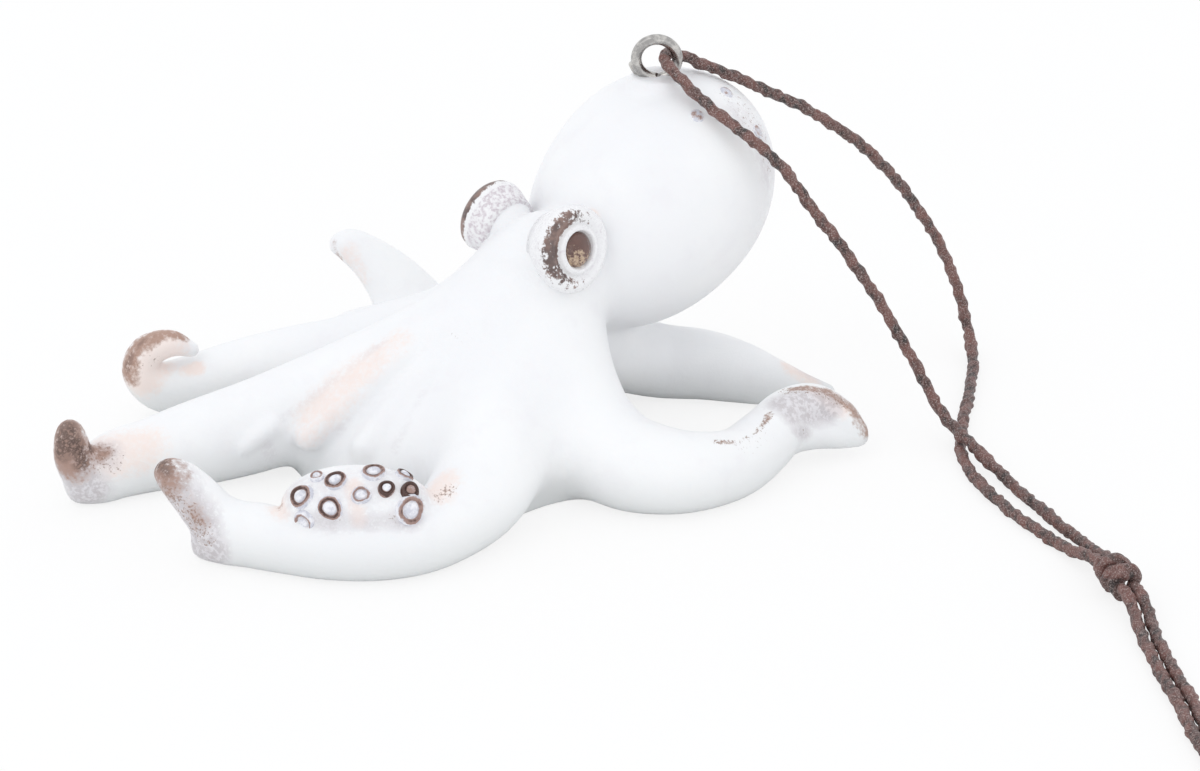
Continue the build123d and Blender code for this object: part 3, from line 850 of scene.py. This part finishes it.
def body_distance(x, y, z):
    """The head and web: an ellipse at each height."""
    rows = smooth_rows(body_levels, 8)
    heights = rows[:, 0] * crown_height
    middle_x, middle_y, half_x, half_y = [
        np.interp(z, heights, rows[:, column] * size)
        for column, size in ((1, half_length), (2, half_depth), (3, half_length), (4, half_depth))
    ]
    scaled = np.sqrt(((x - middle_x) / half_x) ** 2 + ((y - middle_y) / half_y) ** 2)
    steep = np.sqrt(((x - middle_x) / half_x**2) ** 2 + ((y - middle_y) / half_y**2) ** 2)
    side = scaled * (scaled - 1) / np.maximum(steep, 1e-6)
    # The walls slope, so the true distance is a little less than the level one
    return np.maximum(side * 0.85, z - heights[-1])


def add_egg(middle, axis, reach_ahead, reach_behind, half_thick, width):
    """Joins an egg about this axis, longer or shorter ahead than behind."""
    def distance(x, y, z):
        off = (x - middle[0], y - middle[1], z - middle[2])
        along = off[0] * axis[0] + off[1] * axis[1] + off[2] * axis[2]
        across = off[0] ** 2 + off[1] ** 2 + off[2] ** 2 - along**2
        reach = np.where(along > 0, reach_ahead, reach_behind)
        scaled = np.sqrt((along / reach) ** 2 + across / half_thick**2)
        steep = np.sqrt((along / reach**2) ** 2 + across / half_thick**4)
        return scaled * (scaled - 1) / np.maximum(steep, 1e-6)

    largest = max(reach_ahead, reach_behind, half_thick)
    add_form(np.array(middle) - largest, np.array(middle) + largest, distance, width)


body_low = (-24, -22, -2)
body_high = (22, 20, crown_height + 1)
slices, (x, y, z) = region(body_low, body_high)
field[slices] = body_distance(x, y, z)

for name, shares in arms.items():
    add_limb(shares, limb_fillets.get(name, plain_limb_fillet))
for limbs, fillet in ((fingers.values(), finger_fillet), (leaf, leaf_fillet), (folds, fold_fillet)):
    for shares in limbs:
        add_limb(shares, fillet)

mantle_back = Vector((-cos(radians(face_heading)), -sin(radians(face_heading)), 0))
mantle_axis = mantle_back * cos(radians(mantle_tilt)) + up * sin(radians(mantle_tilt))
add_egg(mantle_middle, mantle_axis, mantle_back_length, mantle_front_length, mantle_radius, mantle_fillet)

# The eye mounds
eye_frames = {}
for side_name, sideways in (("near", 90), ("far", -90)):
    heading = radians(face_heading + sideways)
    level = Vector((cos(heading), sin(heading), 0))
    outward = level * cos(radians(eye_tilt)) + up * sin(radians(eye_tilt))
    middle = head_middle + level * eye_spacing / 2
    eye_frames[side_name] = (middle, outward, level.cross(up).normalized())
    mound = middle - outward * mound_sink
    add_egg(mound, outward, mound_rise, mound_depth, mound_radii[side_name], mound_fillets[side_name])

# The sucker pad, with a crease where it meets the arm
pad_axis = Vector((cos(radians(pad_heading)), sin(radians(pad_heading)), 0))
add_egg(pad_middle, pad_axis, pad_half_length, pad_half_length, pad_half_thickness, pad_crease)

# The raised seat of the wire eye
seat_middle = ring_middle - Vector((0, 0, seat_drop))


def seat_distance(x, y, z):
    """A short upright cylinder."""
    radial = np.sqrt((x - seat_middle.x) ** 2 + (y - seat_middle.y) ** 2)
    return np.maximum(radial - seat_radius, np.abs(z - seat_middle.z) - seat_half_thickness)


seat_box = np.array((seat_radius + 1, seat_radius + 1, seat_half_thickness + 1))
add_form(np.array(seat_middle) - seat_box, np.array(seat_middle) + seat_box, seat_distance, seat_fillet)

# The floor cuts everything flat, with a small round at the edge
over_floor = np.broadcast_to(grid_axes[2], field.shape).astype(np.float32)
field = -melt(-field, over_floor, floor_round)

grid = openvdb.FloatGrid()
grid.copyFromArray(np.ascontiguousarray(field, dtype=np.float64))
surface_points, surface_faces = grid.convertToQuads(isovalue=0.0)
surface_points = surface_points * voxel + grid_low
surface_points[:, 2] = np.maximum(surface_points[:, 2], 0.0)

# The paints on the casting. Each soft stroke has two ends in millimetres, a reach and a strength
strokes_of_paint = {
    "dark": [
        ((-49.7, -14, 11.6), (-50.0, -14.6, 8.6), 1.9, 0.52),
        ((-48.8, -14.2, 9.4), (-48.0, -14.6, 6.6), 1.3, 0.56),
        ((-46.9, -12.8, 8), (-46.5, -12, 8.5), 0.9, 0.46),
        ((-36.8, -26.4, 12.4), (-35.4, -27.4, 12), 1.3, 0.50),
        ((-46.4, -12.6, 8.4), (-45.2, -12.6, 7.8), 0.8, 0.48),
        ((-45.2, 11.0, 7.8), (-44.4, 11.2, 11), 0.9, 0.46),
        ((-44.4, 11.2, 11), (-41.4, 12.2, 12.9), 0.9, 0.46),
        ((50.6, 1.6, 3.4), (49.6, 2.6, 5.4), 0.7, 0.46),
    ],
    "stain": [
        ((-49.7, -14, 11), (-49.4, -14.6, 7), 2.9, 0.74),
        ((-46.6, -12.4, 8.2), (-45.4, -12.8, 7.6), 1.5, 0.62),
        ((-36.6, -26.4, 12.2), (-34.8, -27.6, 10.6), 2.2, 0.66),
        ((-34.0, -27.6, 10), (-31.6, -29.6, 6), 1.5, 0.40),
        ((-45.2, 11.0, 7), (-44.4, 11.2, 10.8), 1.7, 0.72),
        ((-44.4, 11.2, 10.8), (-41.0, 12.4, 12.6), 1.7, 0.72),
        ((-41.0, 12.4, 12.6), (-37.2, 13.2, 12.2), 1.1, 0.62),
        ((50.6, 1.6, 3.2), (49.4, 2.8, 6.0), 1.3, 0.72),
        ((49.4, 2.8, 6.0), (46.6, 3.0, 8.3), 1.1, 0.70),
        ((46.6, 3.0, 8.3), (41.6, 1.4, 9.8), 0.8, 0.62),
        ((31.4, -13.4, 8.8), (34.6, -11.8, 8.8), 0.45, 0.46),
        ((34.6, -11.8, 8.8), (37.2, -8.2, 8.6), 0.5, 0.50),
        ((37.2, -8.2, 8.6), (38.6, -4.8, 8.8), 0.45, 0.46),
        ((-4.4, -31.4, 9.8), (-5.2, -32, 8.6), 0.7, 0.60),
        ((-21.8, -28.6, 8.4), (-21.4, -29.4, 6.4), 0.8, 0.44),
        ((-18.6, 33.2, 16.4), (-18.2, 32.6, 14.6), 0.7, 0.44),
    ],
    "violet_and_painted_shade": [
        ((40.8, -2.4, 8.4), (46.0, 0.8, 7.6), 2.4, 1.0),
        ((40.4, -4.4, 6.4), (43.6, -3.0, 5.4), 1.2, 0.66),
        ((38.8, -6.4, 5.2), (36.8, -8.8, 2.4), 0.9, 0.60),
        ((-49.4, -15, 6.6), (-47.4, -15.2, 2.4), 3.0, 0.92),
        ((-47, -13, 7), (-45, -12.6, 7), 2.0, 0.62),
        ((-35.0, -27.6, 9.6), (-30.8, -29.4, 3.4), 3.0, 1.05),
        ((-16.5, -32.4, 7.8), (-6, -32.2, 8.0), 1.7, 0.62),
        ((-20, -30, 10.4), (-5, -30.4, 10.4), 2.8, 0.38),
        ((36.5, 18, 41), (38.6, 18, 34), 3.4, 0.36),
        ((46, 19.4, 3.5), (44, 19, 5), 1.8, 0.52),
        # Faint lilac strokes along the valleys between the web's folds: painted shade
        ((-24.1, -8.1, 8.9), (-15.8, -5.9, 14.8), 0.7, 0.20),
        ((-15.8, -5.9, 14.8), (-10.2, -3.8, 18.7), 0.7, 0.20),
        ((-16, -9.4, 8.6), (-10.8, -7.0, 13.3), 0.8, 0.20),
        ((-10.8, -7.0, 13.3), (-5.0, -5.5, 18.1), 0.7, 0.19),
        ((-8.6, -14.4, 8.5), (-5.0, -9.6, 13.8), 0.8, 0.20),
        # A lilac stroke down the pocket's fold wall: painted shade
        ((-25.4, -8.7, 7), (-24.6, -8.6, 3.4), 1.0, 0.26),
    ],
    "blush": [
        ((-8.5, -4.6, 18.4), (-13, -6.2, 15.6), 2.0, 0.48),
        ((-13, -6.2, 15.6), (-19.5, -7.6, 9.8), 2.2, 0.58),
        ((-15, -8.2, 13.4), (-20, -9.4, 8.8), 2.2, 0.46),
        ((-45, -12.4, 7), (-40.5, -11.4, 7.6), 3.0, 0.66),
        ((-37.6, 12.2, 7.6), (-36.2, 12.6, 7.4), 1.1, 0.85),
        ((-43.4, 11.6, 7.0), (-40.4, 12.4, 10.6), 2.8, 0.95),
        ((-2.8, -28, 9), (-1.8, -26, 9.6), 2.0, 0.7),
        ((-12.6, -31.4, 12), (-12, -33, 8.4), 1.1, 0.8),
        ((-21.8, -29, 8), (-21, -30, 6), 1.6, 0.66),
        ((10.7, 1.9, 34.9), (13.8, 4.5, 34.2), 1.2, 1.0),
        ((13.8, 4.5, 34.2), (15.9, 5.8, 31.6), 1.0, 0.9),
        ((42.5, 17.6, 5.2), (45.4, 18, 3.6), 1.6, 0.7),
        ((44.6, 1.6, 8.6), (48.4, 2.0, 6.0), 1.2, 0.75),
        ((-16.8, 31.6, 15.4), (-15.4, 30.4, 12.6), 1.6, 0.4),
    ],
    "specks": [
        ((-20.5, -31.6, 6.0), (-16, -33.0, 6.0), 0.8, 0.9),
        ((-16, -33.0, 6.0), (-9, -33.0, 6.4), 0.8, 0.92),
        ((-9, -33.0, 6.4), (-4.6, -32, 7.0), 0.8, 0.9),
        ((-15, -32.6, 8.0), (-6.6, -32.6, 8.4), 1.3, 0.9),
        ((34.5, 20, 43), (38.8, 18, 35), 4.0, 0.80),
        ((31.4, -13.4, 8.8), (34.6, -11.8, 8.8), 0.8, 0.98),
        ((34.6, -11.8, 8.8), (37.2, -8.2, 8.6), 1.0, 1.0),
        ((37.2, -8.2, 8.6), (38.6, -4.8, 8.8), 0.9, 0.98),
        ((34, -11.6, 6.8), (37.6, -8, 6), 2.2, 0.9),
        ((40, -4.4, 6), (42.6, -3, 5.4), 0.9, 1.0),
        ((-35.0, -27.6, 9.6), (-30.4, -29.4, 4), 2.6, 0.94),
        ((-48, -13.4, 7), (-44.6, -12.4, 6), 2.8, 0.9),
        ((-3, -29, 8), (-1.2, -27.4, 9), 1.6, 1.0),
        ((-43.4, 11.4, 8), (-41.4, 12, 9.6), 1.4, 0.86),
        ((-1.6, -5.6, 21), (1, -6, 18.6), 1.6, 0.72),
        ((41, 1, 9.4), (48, 2.6, 7), 1.8, 0.95),
    ],
}


def airbrushed(points, strokes):
    """How strongly soft strokes of paint cover each point: in full up to half their reach, then less."""
    covered = np.zeros(len(points))
    for start, end, reach, strength in strokes:
        start, run = np.array(start), np.array(end) - np.array(start)
        share = np.clip((points - start) @ run / max(run.dot(run), 1e-6), 0, 1)
        away = np.linalg.norm(points - start - share[:, None] * run, axis=1) / reach
        covered = np.maximum(covered, strength * np.clip(1.5 - away, 0, 1))
    return covered


casting = mesh_object(
    "casting",
    surface_points,
    surface_faces[:, ::-1],
    {key: airbrushed(surface_points, strokes) for key, strokes in strokes_of_paint.items()},
)
dress(
    casting,
    resin,
    "resin",
    "head_and_web",
    "mantle",
    "hanger_seat",
    "sucker_pad",
    *["arm_" + name for name in arms],
)


def turned(name, profile, middle, outward, across, around, wobble=0.0, facing=None):
    """A round piece from a profile of (radius, height, tone) in millimetres, a little uneven round its axis.
    It keeps its tone and how far each point looks along facing."""
    other = outward.cross(across)
    phase = rng.uniform(0, 2 * pi, 3)
    vertices, tones, sides = [], [], []
    for radius, height, tone in profile:
        for k in range(around):
            angle = 2 * pi * k / around
            uneven = 1 + wobble * (sin(2 * angle + phase[0]) + 0.6 * sin(3 * angle + phase[1]))
            spoke = across * cos(angle) + other * sin(angle)
            rise = height + wobble * sin(angle + phase[2])
            vertices.append(middle + outward * rise + spoke * radius * uneven)
            tones.append(tone)
            sides.append(spoke.dot(facing) if facing else 0.0)
    last = (len(profile) - 1) * around
    faces = ring_faces(len(profile), around)
    faces.append(tuple(range(around))[::-1])
    faces.append(tuple(range(last, last + around)))
    return mesh_object(name, vertices, faces, {"tone": tones, "side": sides})


def on_egg(middle, axis, level, rise, half_long, half_thick, share, angle):
    """The place at a share of an egg's half length and an angle round it, and two directions there:
    outward and across."""
    spoke = level * cos(radians(angle)) + rise * sin(radians(angle))
    reach = sqrt(1 - share**2)
    foot = middle + axis * share * half_long + spoke * reach * half_thick
    outward = (axis * share / half_long + spoke * reach / half_thick).normalized()
    return foot, outward, outward.cross(axis).normalized()


# The eyes: the far lid is smaller, with darker paint on its edge and less on its wall
eye_profile = [
    (4.5, -3.4, -0.3),
    (4.95, -2.0, -0.3),
    (5.4, -0.7, -0.3),
    (5.6, 0.2, 0.1),
    (5.4, 0.9, 0.7),
    (5.0, 1.35, 1.1),
    (4.5, 1.5, 1.25),
    (4.0, 1.4, 1.3),
    (3.6, 1.1, 1.3),
    (3.3, 1.05, 0.9),
    (3.15, 1.55, -0.6),
    (2.85, 1.95, -0.6),
    (2.5, 1.9, -0.6),
    (2.35, 1.5, -0.5),
    (2.25, 1.15, 0.2),
]
iris_profile = [
    (2.35, 0.9, 0.0),
    (2.25, 1.3, 0.0),
    (1.9, 1.7, 0.0),
    (1.2, 2.0, 0.0),
    (0.15, 2.1, 0.0),
]
painted_side = Vector((-0.66, -0.62, 0.41)).normalized()
iris_side = Vector((-0.3, -0.2, -0.93)).normalized()
lid_edge_height = -0.5
lid_sizes = {"near": 1.0, "far": 0.87}
edge_tones = {"near": 0.0, "far": 0.9}
wall_tones = {"near": 0.0, "far": -1.6}
for side_name, (middle, outward, across) in eye_frames.items():
    profile = []
    for radius, height, tone in eye_profile:
        tone_shift = edge_tones if height > lid_edge_height else wall_tones
        profile.append((radius * lid_sizes[side_name], height, tone + tone_shift[side_name]))
    lid = turned("lid_" + side_name, profile, middle, outward, across, 72, wobble=0.02, facing=painted_side)
    dress(lid, lid_look, "brown_wash", "eye_lid_" + side_name)
    iris = turned("iris_" + side_name + "_look", iris_profile, middle, outward, across, 48, facing=iris_side)
    dress(iris, iris_look, "dark_paint", "iris_" + side_name)

# The suckers on the pad: share along the pad, angle round it, size, and how much darker than usual
suckers = [
    (0.69, 43, 0.82, 0.10),
    (0.25, 65, 0.72, 0.15),
    (0.29, 24, 0.82, 0.05),
    (0.64, -5, 0.78, -0.30),
    (-0.22, 84, 0.78, 0.0),
    (-0.10, 43, 0.64, -0.30),
    (-0.41, 56, 0.58, 0.70),
    (-0.60, 100, 0.60, 0.15),
    (-0.70, 62, 0.66, 1.30),
    (-0.72, 24, 0.98, -0.12),
    (0.50, 78, 0.50, -0.35),
]
cup_profile = [
    (1.16, -0.7, -0.1),
    (1.12, -0.1, 0.0),
    (1.06, 0.2, 0.3),
    (0.96, 0.42, 0.7),
    (0.82, 0.46, 1.0),
    (0.72, 0.32, 1.0),
    (0.66, 0.22, 0.8),
    (0.60, 0.28, 0.3),
    (0.52, 0.44, -0.4),
    (0.36, 0.54, -0.6),
    (0.05, 0.58, -0.6),
]
pad_across = up.cross(pad_axis)
for number, (share, angle, size, darker) in enumerate(suckers):
    foot, outward, across = on_egg(
        pad_middle, pad_axis, pad_across, up, pad_half_length, pad_half_thickness, share, angle
    )
    profile = [(radius * size * sucker_radius, height, tone + darker) for radius, height, tone in cup_profile]
    cup = turned(f"sucker_{number + 1}", profile, foot, outward, across, 36, wobble=0.06)
    dress(cup, sucker_look, "brown_wash")
    if number == 0:
        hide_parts("suckers")

# The raised spots on the mantle: share along its back half, and angle round it
spots = [(0.40, 127), (0.775, 130), (0.69, 166)]
spot_profile = [
    (1.0, -0.5, 0.1),
    (0.95, 0.05, 0.2),
    (0.8, 0.2, 0.45),
    (0.5, 0.28, 0.5),
    (0.1, 0.3, 0.5),
]
mantle_level = up.cross(mantle_back)
mantle_rise = mantle_axis.cross(mantle_level)
for number, (share, angle) in enumerate(spots):
    foot, outward, across = on_egg(
        mantle_middle, mantle_axis, mantle_level, mantle_rise, mantle_back_length, mantle_radius, share, angle
    )
    spot = turned(f"spot_{number + 1}", spot_profile, foot, outward, across, 28, wobble=0.03)
    dress(spot, sucker_look, "brown_wash")
    if number == 0:
        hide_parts("mantle_spots")

# The wire eye: a shank, a loop of more than one turn, and a lapped end that widens and steps aside
wire_turns = 1.22
wire_steps = 96
shank_depths = (6, 3)
loop_side = -0.35
lap_step = 0.9
lap_step_start = 0.5
lap_step_run = 0.72
lap_widening = 0.5
lap_widening_start = 0.62
lap_widening_run = 0.6
wire_end_round = wire_radius * 0.6


def wire_line():
    """The wire's middle, from the foot of the shank to the lapped end."""
    line = [ring_middle - Vector((0, 0, ring_radius + depth)) for depth in shank_depths]
    for step in range(wire_steps + 1):
        turns = step / wire_steps * wire_turns
        angle = radians(-90) - 2 * pi * turns
        reach = ring_radius + lap_widening * max(0, turns - lap_widening_start) / lap_widening_run
        side = loop_side + lap_step * max(0, turns - lap_step_start) / lap_step_run
        line.append(ring_middle + Vector((reach * cos(angle), side, reach * sin(angle))))
    return np.array(line)


def wire_radii(mark, angles, length):
    """The wire's radius, the same all round, with a rounded end."""
    left = min(length - mark, wire_end_round) / wire_end_round
    return np.full(len(angles), wire_radius * sqrt(max(0.02, 1 - (1 - left) ** 2)))


wire = tube("wire_eye", wire_line(), wire_radii, 28)
dress(wire, wire_look, "wire", "hanger_eye")

# The floor and the light
floor_reach = 1.5
floor_corners = [(x * floor_reach, y * floor_reach, 0) for x, y in ((-1, -1), (1, -1), (1, 1), (-1, 1))]
floor_mesh = bpy.data.meshes.new("floor")
floor_mesh.from_pydata(floor_corners, [], [(0, 1, 2, 3)])
floor = bpy.data.objects.new("floor", floor_mesh)
bpy.context.scene.collection.objects.link(floor)
floor_mesh.materials.append(floor_material())

world = bpy.data.worlds.new("studio")
world.use_nodes = True
bpy.context.scene.world = world
studio = world.node_tree
sky = studio.nodes["Background"]
sky.inputs["Color"].default_value = (0.97, 0.98, 1.0, 1)
sky.inputs["Strength"].default_value = 1.06
white = studio.nodes.new("ShaderNodeBackground")
white.inputs["Color"].default_value = (1, 1, 1, 1)
white.inputs["Strength"].default_value = 1.0
ray = studio.nodes.new("ShaderNodeLightPath")
shown = mix_shaders(studio, ray.outputs["Is Camera Ray"], sky.outputs[0], white.outputs[0])
studio.links.new(shown, studio.nodes["World Output"].inputs["Surface"])


def lamp(name, location, size, power):
    """A soft square lamp that points at the figure."""
    data = bpy.data.lights.new(name, "AREA")
    data.size = size
    data.energy = power
    made = bpy.data.objects.new(name, data)
    made.location = location
    made.rotation_euler = (camera_target - Vector(location)).to_track_quat("-Z", "Y").to_euler()
    bpy.context.scene.collection.objects.link(made)


lamp("key", (-0.42, -0.30, 0.62), 0.5, 0.4)
lamp("fill", (0.35, -0.75, 0.12), 0.5, 0.3)
